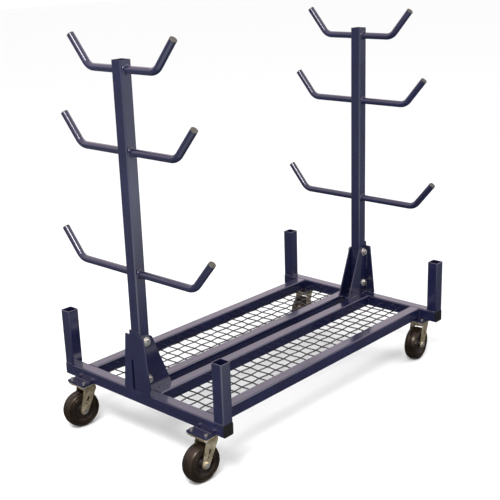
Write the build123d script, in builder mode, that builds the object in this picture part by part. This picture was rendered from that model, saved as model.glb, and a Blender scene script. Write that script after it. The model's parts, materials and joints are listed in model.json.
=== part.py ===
from build123d import *

import os
from math import cos, radians, sin

# Rolling rack for lengths of pipe and conduit. Millimetres, +Z up.
# X runs along the deck from the front end (-X) to the rear end (+X), left is +Y and
# right is -Y. The origin is on the floor, in the middle of the ground that it covers.

# ---------------------------------------------------------------- driving sizes
deck_length = 1473.2  # over the outer faces of the two end rails
deck_width = 914.4  # over the ends of the end rails
overall_height = 1524.0  # floor to the top of the uprights

tube = 50.8  # square tube of the deck, the posts and the uprights
tube_wall = 3.0
tube_corner = 6.0  # outer corner radius of the square tube

caster_height = 190.5  # floor to the top of the caster's plate
pad_thickness = 9.5
deck_bottom = caster_height + pad_thickness
rail_top = deck_bottom + tube
rail_mid = deck_bottom + tube / 2

post_height = 235.0  # corner posts, above the rails
post_gap = 38.1  # between a post and the side rail beside it
center_gap = 54.0  # between the two centre rails

plug_lip = 2.5  # thickness of a plug's lip outside its tube
plug_depth = 18.0  # length of a plug inside its tube

# Wire mesh in the two bays of the deck
wire = 4.2
mesh_pitch = 51.8
mesh_height = 8.5  # wire centres above the bottom of the rails
left_first_wire = 101.5  # first long wire from the middle of the deck
right_first_wire = 125.8

# Brackets that hold the uprights
plate_thickness = 6.35
plate_overhang = 3.2  # of the plate past the end rail's outer face
plate_bottom_width = 152.4
plate_top_width = 101.6
tab_height = 20.0  # raised middle of the plate, as wide as the upright
slot_width = 12.0
slot_bottom = 4.0
slot_top = 131.0
slot_offset = 19.0  # slot centre from the middle of the plate
cheek_thickness = 6.35
cheek_height = 228.6
cheek_top_depth = 54.5
cheek_bottom_depth = 144.5
cheek_corner = 16.0
tie_depth = 40.0  # flat bar across the feet of the cheeks
tie_thickness = 6.35
side_play = 0.8  # between the upright and each cheek
back_play = 0.9  # between the upright and the plate

bolt_size = 15.875  # pivot bolt and clamp bolt
pivot_height = 52.0  # above the rails
clamp_height = 209.5
washer_size = 38.0
washer_thickness = 3.0
bolt_head_flats = 23.8
bolt_head_height = 9.9
bolt_nut_height = 13.9
bolt_end = 5.0  # thread past the nut

# Arms: round pipe, straight out and then bent up
pipe = 28.6
pipe_wall = 2.9
bend_radius = 57.0
bend_angle = 50.0
arm_tip = 119.0  # straight length past the bend
# tier name, height above the rails, straight length from the middle of the upright
arm_tiers = [
    ("bottom", 480.0, 287.0),
    ("middle", 943.0, 231.0),
    ("top", 1238.5, 153.0),
]

# Casters
pad_length = 114.3  # along X
pad_width = 101.6
pad_inset = 19.1  # pad centre, inboard of the end rail's outer face
pad_middle = 351.4  # pad centre from the middle of the deck
pad_bolt_x = 82.5
pad_bolt_y = 76.2
pad_bolt = 9.525
pad_bolt_flats = 14.3
pad_bolt_head = 6.2
pad_nut_height = 8.2
top_plate_thickness = 6.35
race_radius = 36.0
race_height = 10.0
ball = 6.35
ball_circle = 26.0
ball_count = 14
ball_play = 0.1
crown_gap = 3.6  # between the race and the fork's crown
crown_thickness = 9.0
kingpin = 16.0
kingpin_head = 26.0
kingpin_head_height = 6.5
caster_lead = 35.0  # swivel axis to axle
wheel_radius = 76.2
wheel_width = 50.8
hub_radius = 50.0
hub_half_length = 27.8
fork_inside = 28.5  # inner face of each leg from the wheel's middle
fork_leg = 5.0
axle = 12.7
axle_flats = 19.05
axle_head = 8.0
axle_nut = 11.0
running_play = 0.06  # radial play of the pins that turn

# The front wheels trail past the front end, so the deck sits a little behind the origin.
deck_mid_x = (caster_lead + wheel_radius - pad_length / 2) / 2

end_of = {"front": -1, "rear": 1}
side_of = {"left": 1, "right": -1}
# How far each caster's wheel trails round from straight behind the front, in degrees
caster_turn = {
    ("front", "left"): 170.0,
    ("front", "right"): 174.0,
    ("rear", "left"): 194.0,
    ("rear", "right"): 187.0,
}

inner_tube = tube - 2 * tube_wall
inner_corner = tube_corner - tube_wall
side_rail_y = deck_width / 2 - tube - post_gap - tube / 2
center_rail_y = (center_gap + tube) / 2
plate_inset = plate_thickness - plate_overhang  # inner face of the plate
upright_inset = plate_inset + back_play + tube / 2
cheek_y = tube / 2 + side_play  # inner face of a cheek
bay_length = deck_length - 2 * tube

os.makedirs("parts", exist_ok=True)


def save(piece, name):
    """Label a finished piece and write it to its own file."""
    piece.part.label = name
    export_step(piece.part, f"parts/{name}.step")


def end_x(end, inset):
    """X of a point that lies inboard of an end rail's outer face."""
    return deck_mid_x + end_of[end] * (deck_length / 2 - inset)


def square_tube(start, length):
    """Square tube with rounded corners, drawn along the normal of its start plane."""
    with BuildPart() as bar:
        with BuildSketch(start):
            RectangleRounded(tube, tube, tube_corner)
            RectangleRounded(inner_tube, inner_tube, inner_corner, mode=Mode.SUBTRACT)
        extrude(amount=length)
    return bar


# ---------------------------------------------------------------- deck
# The end rails run the full width, less the lips of the plugs in their ends.
end_rail_length = deck_width - 2 * plug_lip
for end in end_of:
    start = Plane(origin=(end_x(end, tube / 2), -end_rail_length / 2, rail_mid), z_dir=(0, 1, 0))
    end_rail = square_tube(start, end_rail_length)
    save(end_rail, f"end_rail_{end}")

# Side rails and centre rails butt against the inner faces of the end rails.
for side, sign in side_of.items():
    for rail, rail_y in (("side_rail", side_rail_y), ("center_rail", center_rail_y)):
        start = Plane(origin=(end_x("front", tube), sign * rail_y, rail_mid), z_dir=(1, 0, 0))
        long_rail = square_tube(start, bay_length)
        save(long_rail, f"{rail}_{side}")

# The posts stand on the ends of the end rails and are open at the top.
for end in end_of:
    for side, sign in side_of.items():
        foot = (end_x(end, tube / 2), sign * (deck_width - tube) / 2, rail_top)
        post = square_tube(Plane(origin=foot), post_height)
        save(post, f"corner_post_{end}_{side}")

# Plastic plugs close the ends of the end rails.
with BuildPart() as end_plugs:
    for end in end_of:
        for sign in side_of.values():
            mouth = Plane(
                origin=(end_x(end, tube / 2), sign * end_rail_length / 2, rail_mid),
                z_dir=(0, sign, 0),
            )
            with BuildSketch(mouth):
                RectangleRounded(tube, tube, tube_corner)
            extrude(amount=plug_lip)
            with BuildSketch(mouth):
                RectangleRounded(inner_tube, inner_tube, inner_corner)
            extrude(amount=-plug_depth)
            with BuildSketch(mouth.offset(-plug_depth)):
                Rectangle(inner_tube - 8, inner_tube - 8)
            extrude(amount=plug_depth - 4, mode=Mode.SUBTRACT)
save(end_plugs, "end_rail_plugs")


def deck_mesh(side, first_wire):
    """Wire grid between a centre rail and a side rail, its wires ending on the rails."""
    sign = side_of[side]
    near_y = center_gap / 2 + tube
    far_y = side_rail_y - tube / 2
    level = deck_bottom + mesh_height
    long_count = int((far_y - first_wire) / mesh_pitch) + 1
    cross_count = 2 * int((bay_length / 2 - mesh_pitch / 2) / mesh_pitch + 1)
    with BuildPart() as grid:
        with BuildSketch(Plane(origin=(end_x("front", tube), 0, level), x_dir=(0, 1, 0), z_dir=(1, 0, 0))):
            with Locations([(sign * (first_wire + i * mesh_pitch), 0) for i in range(long_count)]):
                Circle(wire / 2)
        extrude(amount=bay_length)
        with BuildSketch(
            Plane(origin=(deck_mid_x, sign * near_y, level), x_dir=(1, 0, 0), z_dir=(0, sign, 0))
        ):
            with GridLocations(mesh_pitch, 0, cross_count, 1):
                Circle(wire / 2)
        extrude(amount=far_y - near_y)
    return grid


left_mesh = deck_mesh("left", left_first_wire)
save(left_mesh, "deck_mesh_left")
right_mesh = deck_mesh("right", right_first_wire)
save(right_mesh, "deck_mesh_right")

# ---------------------------------------------------------------- brackets


def bracket_plate(end):
    """Back plate, standing on the end rail and a little proud of its outer face."""
    sign = end_of[end]
    face = Plane(origin=(end_x(end, -plate_overhang), 0, rail_top), x_dir=(0, sign, 0), z_dir=(sign, 0, 0))
    half_bottom = plate_bottom_width / 2
    half_top = plate_top_width / 2
    with BuildPart() as plate:
        with BuildSketch(face):
            with BuildLine():
                Polyline(
                    (-half_bottom, 0),
                    (half_bottom, 0),
                    (half_top, post_height),
                    (tube / 2, post_height),
                    (tube / 2, post_height + tab_height),
                    (-tube / 2, post_height + tab_height),
                    (-tube / 2, post_height),
                    (-half_top, post_height),
                    close=True,
                )
            make_face()
            with Locations((-slot_offset, (slot_bottom + slot_top) / 2)):
                SlotOverall(slot_top - slot_bottom, slot_width, rotation=90, mode=Mode.SUBTRACT)
        extrude(amount=-plate_thickness)
        upright_edges = plate.edges().filter_by(Axis.X)
        fillet(upright_edges.filter_by(lambda e: e.center().Z > rail_top + post_height - 1), 2.0)
    return plate


def cheek_outline():
    """Side view of a cheek: x from the plate towards the middle of the deck, y up."""
    with BuildLine() as outline:
        Polyline(
            (0, 0),
            (cheek_bottom_depth, 0),
            (cheek_top_depth, cheek_height),
            (0, cheek_height),
            close=True,
        )
        corner = outline.vertices().sort_by(Axis.Y)[-2:].sort_by(Axis.X)[-1]
        fillet(corner, cheek_corner)
    return outline.line


def bracket_cheeks(end):
    """The two cheeks that the upright stands between."""
    inward = -end_of[end]
    root_x = end_x(end, plate_inset)
    with BuildPart() as cheeks:
        for sign in side_of.values():
            # the sketch's x runs inward, so its normal points along one of the two sides
            side_plane = Plane(
                origin=(root_x, sign * cheek_y, rail_top),
                x_dir=(inward, 0, 0),
                z_dir=(0, -inward, 0),
            )
            with BuildSketch(side_plane):
                with BuildLine():
                    add(cheek_outline())
                make_face()
                bolt_x = upright_inset - plate_inset
                with Locations((bolt_x, pivot_height), (bolt_x, clamp_height)):
                    Circle(bolt_size / 2 + 0.3, mode=Mode.SUBTRACT)
            extrude(amount=cheek_thickness * (-sign * inward))
    return cheeks


def bracket_tie(end):
    """Flat bar between the feet of the cheeks, over the gap of the centre rails."""
    tie_x = end_x(end, plate_inset + cheek_bottom_depth - 4 - tie_depth / 2)
    with BuildPart() as tie:
        with BuildSketch(Plane(origin=(tie_x, 0, rail_top))):
            Rectangle(tie_depth, 2 * cheek_y)
        extrude(amount=tie_thickness)
    return tie


for end in end_of:
    plate = bracket_plate(end)
    save(plate, f"bracket_plate_{end}")
    cheeks = bracket_cheeks(end)
    save(cheeks, f"bracket_cheeks_{end}")
    tie = bracket_tie(end)
    save(tie, f"bracket_tie_{end}")

# Each bracket has a pivot bolt low down and a clamp bolt near the top. The heads are on
# the right, the nuts on the left.
bolt_places = [
    (end_x(end, upright_inset), rail_top + height)
    for end in end_of
    for height in (pivot_height, clamp_height)
]
cheek_out = cheek_y + cheek_thickness
washer_out = cheek_out + washer_thickness
with BuildPart() as bracket_bolts:
    for x, z in bolt_places:
        with BuildSketch(Plane(origin=(x, -washer_out, z), z_dir=(0, -1, 0))):
            RegularPolygon(bolt_head_flats / 2, 6, major_radius=False, rotation=12)
        extrude(amount=bolt_head_height)
        with BuildSketch(Plane(origin=(x, -washer_out, z), z_dir=(0, 1, 0))):
            Circle(bolt_size / 2)
        extrude(amount=2 * washer_out + bolt_nut_height + bolt_end)
    head_rims = bracket_bolts.edges().filter_by(
        lambda e: e.center().Y < -washer_out - bolt_head_height + 0.1
    )
    chamfer(head_rims, 1.2)
save(bracket_bolts, "bracket_bolts")

with BuildPart() as bracket_nuts:
    for x, z in bolt_places:
        with BuildSketch(Plane(origin=(x, washer_out, z), z_dir=(0, 1, 0))):
            RegularPolygon(bolt_head_flats / 2, 6, major_radius=False, rotation=20)
            Circle(bolt_size / 2, mode=Mode.SUBTRACT)
        extrude(amount=bolt_nut_height)
save(bracket_nuts, "bracket_nuts")

with BuildPart() as bracket_washers:
    for x, z in bolt_places:
        for sign in side_of.values():
            with BuildSketch(Plane(origin=(x, sign * cheek_out, z), z_dir=(0, sign, 0))):
                Circle(washer_size / 2)
                Circle(bolt_size / 2 + 0.3, mode=Mode.SUBTRACT)
            extrude(amount=washer_thickness)
save(bracket_washers, "bracket_washers")

# ---------------------------------------------------------------- uprights and arms


def upright(end):
    """Square tube that folds towards the middle of the deck about the pivot bolt."""
    out = end_of[end]
    axis_x = end_x(end, upright_inset)
    foot = rail_top + pivot_height - tube / 2
    # side view: sketch x points outwards from the bolt's axis, y up
    side_plane = Plane(
        origin=(axis_x, 0, rail_top + pivot_height), x_dir=(out, 0, 0), z_dir=(0, -out, 0)
    )
    slot_up = clamp_height - pivot_height
    with BuildPart() as post:
        with BuildSketch(Plane(origin=(axis_x, 0, foot))):
            RectangleRounded(tube, tube, tube_corner)
            RectangleRounded(inner_tube, inner_tube, inner_corner, mode=Mode.SUBTRACT)
        extrude(amount=overall_height - foot)
        # the outer lower corner is rounded about the pivot, so that it clears the plate
        with BuildSketch(side_plane):
            with Locations((tube / 4 + 1, -tube / 4 - 1)):
                Rectangle(tube / 2 + 2, tube / 2 + 2)
            Circle(tube / 2, mode=Mode.SUBTRACT)
        extrude(amount=tube, both=True, mode=Mode.SUBTRACT)
        # pivot hole, and a notch open to the outside that swings off the clamp bolt
        with BuildSketch(side_plane):
            Circle(bolt_size / 2 + running_play)
            with Locations((0, slot_up)):
                Circle(bolt_size / 2 + 0.6)
            with Locations((tube / 4, slot_up - 1.2)):
                Rectangle(tube / 2, bolt_size + 3.6)
        extrude(amount=tube, both=True, mode=Mode.SUBTRACT)
    return post


def arm_route(x, sign, z, run):
    """Centre line of an arm: straight out from the upright, round the bend, and up."""
    side_view = Plane(origin=(x, 0, z), x_dir=(0, sign, 0), z_dir=(sign, 0, 0))
    with BuildLine(side_view) as route:
        level = Line((tube / 2, 0), (run, 0))
        bend = JernArc(level @ 1, level % 1, bend_radius, bend_angle)
        PolarLine(bend @ 1, arm_tip, bend_angle)
    return route


def arm_pair(end, z, run):
    """The two arms of one tier, left and right of the upright."""
    with BuildPart() as arms:
        for sign in side_of.values():
            route = arm_route(end_x(end, upright_inset), sign, z, run)
            add(route.line)
            with BuildSketch(Plane(origin=route.line @ 0, z_dir=route.line % 0)):
                Circle(pipe / 2)
                Circle(pipe / 2 - pipe_wall, mode=Mode.SUBTRACT)
            sweep(path=route.line)
    return arms


def arm_plugs(end):
    """Caps in the tips of one upright's arms."""
    with BuildPart() as plugs:
        for _, height, run in arm_tiers:
            for sign in side_of.values():
                route = arm_route(end_x(end, upright_inset), sign, rail_top + height, run)
                mouth = Plane(origin=route.line @ 1, z_dir=route.line % 1)
                with BuildSketch(mouth):
                    Circle(pipe / 2)
                extrude(amount=plug_lip)
                with BuildSketch(mouth):
                    Circle(pipe / 2 - pipe_wall)
                extrude(amount=-plug_depth)
    return plugs


for end in end_of:
    post = upright(end)
    save(post, f"upright_{end}")
    for tier, height, run in arm_tiers:
        arms = arm_pair(end, rail_top + height, run)
        save(arms, f"arms_{end}_{tier}")
    plugs = arm_plugs(end)
    save(plugs, f"arm_plugs_{end}")

# ---------------------------------------------------------------- casters
race_bottom = caster_height - top_plate_thickness - race_height
crown_top = race_bottom - crown_gap
crown_bottom = crown_top - crown_thickness
ball_level = race_bottom - crown_gap / 2
bolt_grid = [
    (x * pad_bolt_x / 2, y * pad_bolt_y / 2) for x in (-1, 1) for y in (-1, 1)
]


def caster_center(end, side, height):
    """Point on a caster's swivel axis."""
    return (end_x(end, pad_inset), side_of[side] * pad_middle, height)


def caster_plane(end, side, height):
    """Level plane at a caster's swivel axis, its x towards the trailing wheel."""
    turn = radians(caster_turn[end, side])
    return Plane(
        origin=caster_center(end, side, height), x_dir=(cos(turn), sin(turn), 0), z_dir=(0, 0, 1)
    )


def axle_plane(end, side, offset=0.0):
    """Upright plane through a wheel's middle, its normal along the axle."""
    turn = radians(caster_turn[end, side])
    x, y, _ = caster_center(end, side, 0)
    return Plane(
        origin=(
            x + caster_lead * cos(turn) + offset * sin(turn),
            y + caster_lead * sin(turn) - offset * cos(turn),
            wheel_radius,
        ),
        x_dir=(cos(turn), sin(turn), 0),
        z_dir=(sin(turn), -cos(turn), 0),
    )


def caster_pad(end, side):
    """Plate welded under the corner of the deck."""
    with BuildPart() as pad:
        with BuildSketch(Plane(origin=caster_center(end, side, caster_height))):
            Rectangle(pad_length, pad_width)
            with Locations(bolt_grid):
                Circle(pad_bolt / 2 + 0.3, mode=Mode.SUBTRACT)
        extrude(amount=pad_thickness)
    return pad


def caster_top_plate(end, side):
    """Caster's own plate with the upper ball race pressed down in its middle."""
    level = caster_height - top_plate_thickness
    with BuildPart() as plate:
        with BuildSketch(Plane(origin=caster_center(end, side, level))):
            RectangleRounded(pad_length, pad_width, 10)
            with Locations(bolt_grid):
                Circle(pad_bolt / 2 + 0.3, mode=Mode.SUBTRACT)
        extrude(amount=top_plate_thickness)
        with BuildSketch(Plane(origin=caster_center(end, side, level))):
            Circle(race_radius)
        extrude(amount=-race_height, taper=18)
        with BuildSketch(
            Plane(origin=caster_center(end, side, ball_level), x_dir=(1, 0, 0), z_dir=(0, -1, 0))
        ):
            with Locations((ball_circle, 0)):
                Circle(ball / 2 + ball_play)
        axis = Axis(caster_center(end, side, 0), (0, 0, 1))
        revolve(axis=axis, mode=Mode.SUBTRACT)
        with BuildSketch(Plane(origin=caster_center(end, side, 0))):
            Circle(kingpin / 2)
        extrude(amount=caster_height, mode=Mode.SUBTRACT)
    return plate


def caster_fork(end, side):
    """Fork: crown with the lower ball race, and two legs down to the axle."""
    leg_reach = fork_inside + fork_leg
    with BuildPart() as fork:
        # legs, with an oval and a round lightening hole
        with BuildSketch(axle_plane(end, side, -leg_reach)):
            Circle(17)
            with Locations((-caster_lead + 2, crown_bottom - wheel_radius + 4)):
                Rectangle(54, 8)
            make_hull()
            Circle(axle / 2 + 0.2, mode=Mode.SUBTRACT)
            with Locations((-caster_lead * 0.55, 47)):
                SlotOverall(22, 10, rotation=112, mode=Mode.SUBTRACT)
            with Locations((-caster_lead * 0.32, 27)):
                Circle(3.5, mode=Mode.SUBTRACT)
        extrude(amount=2 * leg_reach)
        # crown over the wheel
        with BuildSketch(caster_plane(end, side, crown_bottom)):
            Circle(34)
            with Locations((2, 0)):
                Rectangle(54, 2 * leg_reach)
        extrude(amount=crown_thickness)
        # room for the wheel between the legs
        with BuildSketch(axle_plane(end, side, -fork_inside)):
            with Locations((0, 0)):
                Rectangle(240, 2 * (crown_bottom - wheel_radius))
        extrude(amount=2 * fork_inside, mode=Mode.SUBTRACT)
        # ball groove and kingpin hole
        axis = Axis(caster_center(end, side, 0), (0, 0, 1))
        with BuildSketch(
            Plane(origin=caster_center(end, side, ball_level), x_dir=(1, 0, 0), z_dir=(0, -1, 0))
        ):
            with Locations((ball_circle, 0)):
                Circle(ball / 2 + ball_play)
        revolve(axis=axis, mode=Mode.SUBTRACT)
        with BuildSketch(Plane(origin=caster_center(end, side, 0))):
            Circle(kingpin / 2 + running_play)
        extrude(amount=caster_height, mode=Mode.SUBTRACT)
    return fork


def axle_set(end, side):
    """Axle bolt and its nut, as two solids."""
    outside = fork_inside + fork_leg
    with BuildPart() as pins:
        with BuildSketch(axle_plane(end, side, -outside)):
            RegularPolygon(axle_flats / 2, 6, major_radius=False)
        extrude(amount=-axle_head)
        with BuildSketch(axle_plane(end, side, -outside)):
            Circle(axle / 2)
        extrude(amount=2 * outside + axle_nut + 3)
        with BuildSketch(axle_plane(end, side, outside)):
            RegularPolygon(axle_flats / 2, 6, major_radius=False)
            Circle(axle / 2 + 0.02, mode=Mode.SUBTRACT)
        extrude(amount=axle_nut)
    return pins


def wheel_tire(end, side):
    """Solid rubber tyre on the hub, with a rounded tread."""
    with BuildPart() as tire:
        with BuildSketch(axle_plane(end, side, -wheel_width / 2)):
            Circle(wheel_radius)
            Circle(hub_radius, mode=Mode.SUBTRACT)
        extrude(amount=wheel_width)
        outer_rims = tire.edges().filter_by(GeomType.CIRCLE).filter_by(
            lambda e: e.radius > hub_radius + 1
        )
        fillet(outer_rims, 9)
    return tire


def wheel_hub(end, side):
    """Hub with a recessed web on each side, bored for the axle."""
    with BuildPart() as hub:
        with BuildSketch(axle_plane(end, side, -wheel_width / 2)):
            Circle(hub_radius)
        extrude(amount=wheel_width)
        for face_offset, depth in ((-wheel_width / 2, 15), (wheel_width / 2, -15)):
            with BuildSketch(axle_plane(end, side, face_offset)):
                Circle(hub_radius - 7)
                Circle(19, mode=Mode.SUBTRACT)
            extrude(amount=depth, mode=Mode.SUBTRACT)
        with BuildSketch(axle_plane(end, side, -hub_half_length)):
            Circle(16)
        extrude(amount=2 * hub_half_length)
        with BuildSketch(axle_plane(end, side, -hub_half_length)):
            Circle(axle / 2 + running_play)
        extrude(amount=2 * hub_half_length, mode=Mode.SUBTRACT)
    return hub


for end, side in caster_turn:
    for kind, make in (
        ("caster_pad", caster_pad),
        ("caster_top_plate", caster_top_plate),
        ("caster_fork", caster_fork),
        ("caster_axle", axle_set),
        ("wheel_tire", wheel_tire),
        ("wheel_hub", wheel_hub),
    ):
        piece = make(end, side)
        save(piece, f"{kind}_{end}_{side}")

with BuildPart() as kingpins:
    for end, side in caster_turn:
        with BuildSketch(Plane(origin=caster_center(end, side, crown_bottom - 0.3))):
            Circle(kingpin / 2)
        extrude(amount=caster_height - crown_bottom + 0.3)
        with BuildSketch(Plane(origin=caster_center(end, side, crown_bottom - 0.3))):
            Circle(kingpin_head / 2)
        extrude(amount=-kingpin_head_height, taper=20)
save(kingpins, "caster_kingpins")

with BuildPart() as ball_rings:
    for end, side in caster_turn:
        with Locations(Location(caster_center(end, side, ball_level))):
            with PolarLocations(ball_circle, ball_count):
                Sphere(ball / 2)
save(ball_rings, "caster_ball_rings")

# Bolts go down through the pad and the caster's plate into nuts below. The one under
# the side rail is a stud, cut off level with the top of the pad.
with BuildPart() as caster_bolts:
    for end, side in caster_turn:
        x, y, _ = caster_center(end, side, 0)
        for dx, dy in bolt_grid:
            under_rail = dx * end_of[end] < 0 and dy * side_of[side] < 0
            with BuildSketch(Plane(origin=(x + dx, y + dy, deck_bottom))):
                Circle(pad_bolt / 2)
            extrude(amount=-(pad_thickness + top_plate_thickness + pad_nut_height + 3))
            if not under_rail:
                with BuildSketch(Plane(origin=(x + dx, y + dy, deck_bottom))):
                    RegularPolygon(pad_bolt_flats / 2, 6, major_radius=False)
                extrude(amount=pad_bolt_head)
save(caster_bolts, "caster_bolts")

with BuildPart() as caster_nuts:
    for end, side in caster_turn:
        x, y, _ = caster_center(end, side, 0)
        for dx, dy in bolt_grid:
            with BuildSketch(Plane(origin=(x + dx, y + dy, caster_height - top_plate_thickness))):
                RegularPolygon(pad_bolt_flats / 2, 6, major_radius=False)
                Circle(pad_bolt / 2, mode=Mode.SUBTRACT)
            extrude(amount=-pad_nut_height)
save(caster_nuts, "caster_nuts")
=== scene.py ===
import json
import math

import bmesh
import bpy
from mathutils import Matrix, Vector


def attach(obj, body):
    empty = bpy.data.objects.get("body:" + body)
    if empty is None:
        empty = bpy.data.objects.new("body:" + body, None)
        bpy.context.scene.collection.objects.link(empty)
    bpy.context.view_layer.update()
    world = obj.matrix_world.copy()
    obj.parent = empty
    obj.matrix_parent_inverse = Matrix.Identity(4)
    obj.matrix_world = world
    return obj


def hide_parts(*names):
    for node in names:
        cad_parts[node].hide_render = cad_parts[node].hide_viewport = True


# Looks for a rolling rack that carries lengths of pipe and conduit. Metres, +Z up; the
# front end is at -X, the left side at +Y.

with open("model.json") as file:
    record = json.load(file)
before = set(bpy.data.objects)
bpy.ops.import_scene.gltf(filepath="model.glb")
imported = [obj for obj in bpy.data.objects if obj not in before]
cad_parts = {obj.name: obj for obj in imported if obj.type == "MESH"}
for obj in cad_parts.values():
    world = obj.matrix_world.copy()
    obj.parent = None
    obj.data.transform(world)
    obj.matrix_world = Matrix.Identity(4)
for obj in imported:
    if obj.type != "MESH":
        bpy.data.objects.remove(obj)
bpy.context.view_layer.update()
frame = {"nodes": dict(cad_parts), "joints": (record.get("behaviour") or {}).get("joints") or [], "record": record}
nodes = frame["nodes"]
joints = {joint["name"]: joint for joint in frame["joints"]}

MM = 0.001
ENDS = {"front": -1, "rear": 1}
SIDES = {"left": 1, "right": -1}
CORNERS = [f"{end}_{side}" for end in ENDS for side in SIDES]
TIERS = ("bottom", "middle", "top")


# ================================================================ handling pieces
def let_go():
    """Leave edit mode and select nothing."""
    if bpy.context.mode != "OBJECT":
        bpy.ops.object.mode_set(mode="OBJECT")
    bpy.ops.object.select_all(action="DESELECT")


def hold(piece):
    """Make one piece the only thing that the operators act on."""
    let_go()
    piece.select_set(True)
    bpy.context.view_layer.objects.active = piece


def started(name):
    """Name the primitive just added, and bake its place and turn into its mesh."""
    piece = bpy.context.object
    piece.name = name
    piece.data.name = name
    bpy.ops.object.transform_apply(location=True, rotation=True, scale=True)
    return piece


def edit(piece):
    """Open a piece for editing, with nothing selected in it."""
    hold(piece)
    bpy.ops.object.mode_set(mode="EDIT")
    bpy.ops.mesh.select_all(action="DESELECT")


def choose(piece, kind, wanted):
    """Select just the verts, edges or faces of the open piece that a test accepts."""
    bpy.ops.mesh.select_mode(type=kind)
    bpy.ops.mesh.select_all(action="DESELECT")
    shape = bmesh.from_edit_mesh(piece.data)
    elements = {"VERT": shape.verts, "EDGE": shape.edges, "FACE": shape.faces}[kind]
    for element in elements:
        if wanted(element):
            element.select_set(True)
    bmesh.update_edit_mesh(piece.data)


def span_of(node):
    """Lowest and highest corner of a solid."""
    solid = nodes[node]
    points = [solid.matrix_world @ Vector(corner) for corner in solid.bound_box]
    return Vector(map(min, zip(*points))), Vector(map(max, zip(*points)))


def copy_piece(piece, name, place=None):
    """Copy of a piece with its own mesh, moved to its place."""
    twin = bpy.data.objects.new(name, piece.data.copy())
    twin.data.name = name
    bpy.context.scene.collection.objects.link(twin)
    if place is not None:
        twin.data.transform(place)
    return twin


def join_pieces(pieces, name):
    """Several pieces made into one."""
    hold(pieces[0])
    for piece in pieces:
        piece.select_set(True)
    bpy.ops.object.join()
    piece = bpy.context.object
    piece.name = name
    piece.data.name = name
    return piece


def discard(piece):
    """Throw away a pattern piece once its copies are made."""
    bpy.data.objects.remove(piece)


def add_modifier(piece, kind, **settings):
    """Add a modifier to a piece and apply it."""
    hold(piece)
    modifier = piece.modifiers.new(kind.lower(), kind)
    for name, value in settings.items():
        setattr(modifier, name, value)
    bpy.ops.object.modifier_apply(modifier=modifier.name)


def cut_off(piece, point, direction):
    """Cut a piece with a plane, keep what is behind it, and close the cut."""
    edit(piece)
    bpy.ops.mesh.select_all(action="SELECT")
    bpy.ops.mesh.bisect(plane_co=point, plane_no=direction, use_fill=True, clear_outer=True)
    let_go()


def ease_edges(piece, width, segments=2, angle=32):
    """Round the sharp edges of a piece a little."""
    add_modifier(
        piece,
        "BEVEL",
        width=width,
        segments=segments,
        limit_method="ANGLE",
        angle_limit=math.radians(angle),
        miter_outer="MITER_ARC",
    )


def complete(piece, body, material, angle=35):
    """Shade a finished piece, give it its finish, and fix it to its body."""
    hold(piece)
    bpy.ops.object.shade_smooth_by_angle(angle=math.radians(angle))
    # large flat faces stay flat beside their rounded edges
    add_modifier(piece, "WEIGHTED_NORMAL", keep_sharp=True, weight=70)
    piece.data.materials.clear()
    piece.data.materials.append(material)
    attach(piece, body)
    return piece


def eased_copy(node, width, segments=2):
    """Copy of a solid with its sharp edges rounded, as cut and painted metal has them."""
    piece = copy_piece(nodes[node], f"{node}_finished")
    edit(piece)
    bpy.ops.mesh.select_all(action="SELECT")
    bpy.ops.mesh.remove_doubles(threshold=0.01 * MM)
    bpy.ops.mesh.customdata_custom_splitnormals_clear()
    bpy.ops.mesh.dissolve_limited(angle_limit=math.radians(0.5))
    let_go()
    ease_edges(piece, width, segments)
    return piece


# ================================================================ finishes
def add_node(tree, kind, inputs=None, **settings):
    """New shader node with some of its inputs and settings filled in."""
    made = tree.nodes.new(kind)
    for name, value in settings.items():
        setattr(made, name, value)
    for name, value in (inputs or {}).items():
        made.inputs[name].default_value = value
    return made


def new_group(name, inputs, outputs):
    """Empty shader node group, with its two ends."""
    tree = bpy.data.node_groups.new(name, "ShaderNodeTree")
    for label, kind, value in inputs:
        socket = tree.interface.new_socket(label, in_out="INPUT", socket_type=f"NodeSocket{kind}")
        socket.default_value = value
    for label, kind in outputs:
        tree.interface.new_socket(label, in_out="OUTPUT", socket_type=f"NodeSocket{kind}")
    return tree, tree.nodes.new("NodeGroupInput"), tree.nodes.new("NodeGroupOutput")


def make_orange_peel():
    """Fine waviness of a sprayed and baked coat, over a slow unevenness of the metal below."""
    tree, start, end = new_group(
        "orange_peel", [("Size", "Float", 300.0), ("Slow", "Float", 0.6)], [("Height", "Float")]
    )
    place = add_node(tree, "ShaderNodeTexCoord")
    fine = add_node(tree, "ShaderNodeTexNoise", {"Detail": 2.0, "Roughness": 0.45})
    slow = add_node(tree, "ShaderNodeTexNoise", {"Scale": 22.0, "Detail": 3.0})
    both = add_node(tree, "ShaderNodeMath", operation="MULTIPLY_ADD")
    tree.links.new(place.outputs["Object"], fine.inputs["Vector"])
    tree.links.new(place.outputs["Object"], slow.inputs["Vector"])
    tree.links.new(start.outputs["Size"], fine.inputs["Scale"])
    tree.links.new(slow.outputs["Fac"], both.inputs[0])
    tree.links.new(start.outputs["Slow"], both.inputs[1])
    tree.links.new(fine.outputs["Fac"], both.inputs[2])
    tree.links.new(both.outputs[0], end.inputs["Height"])
    return tree


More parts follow.
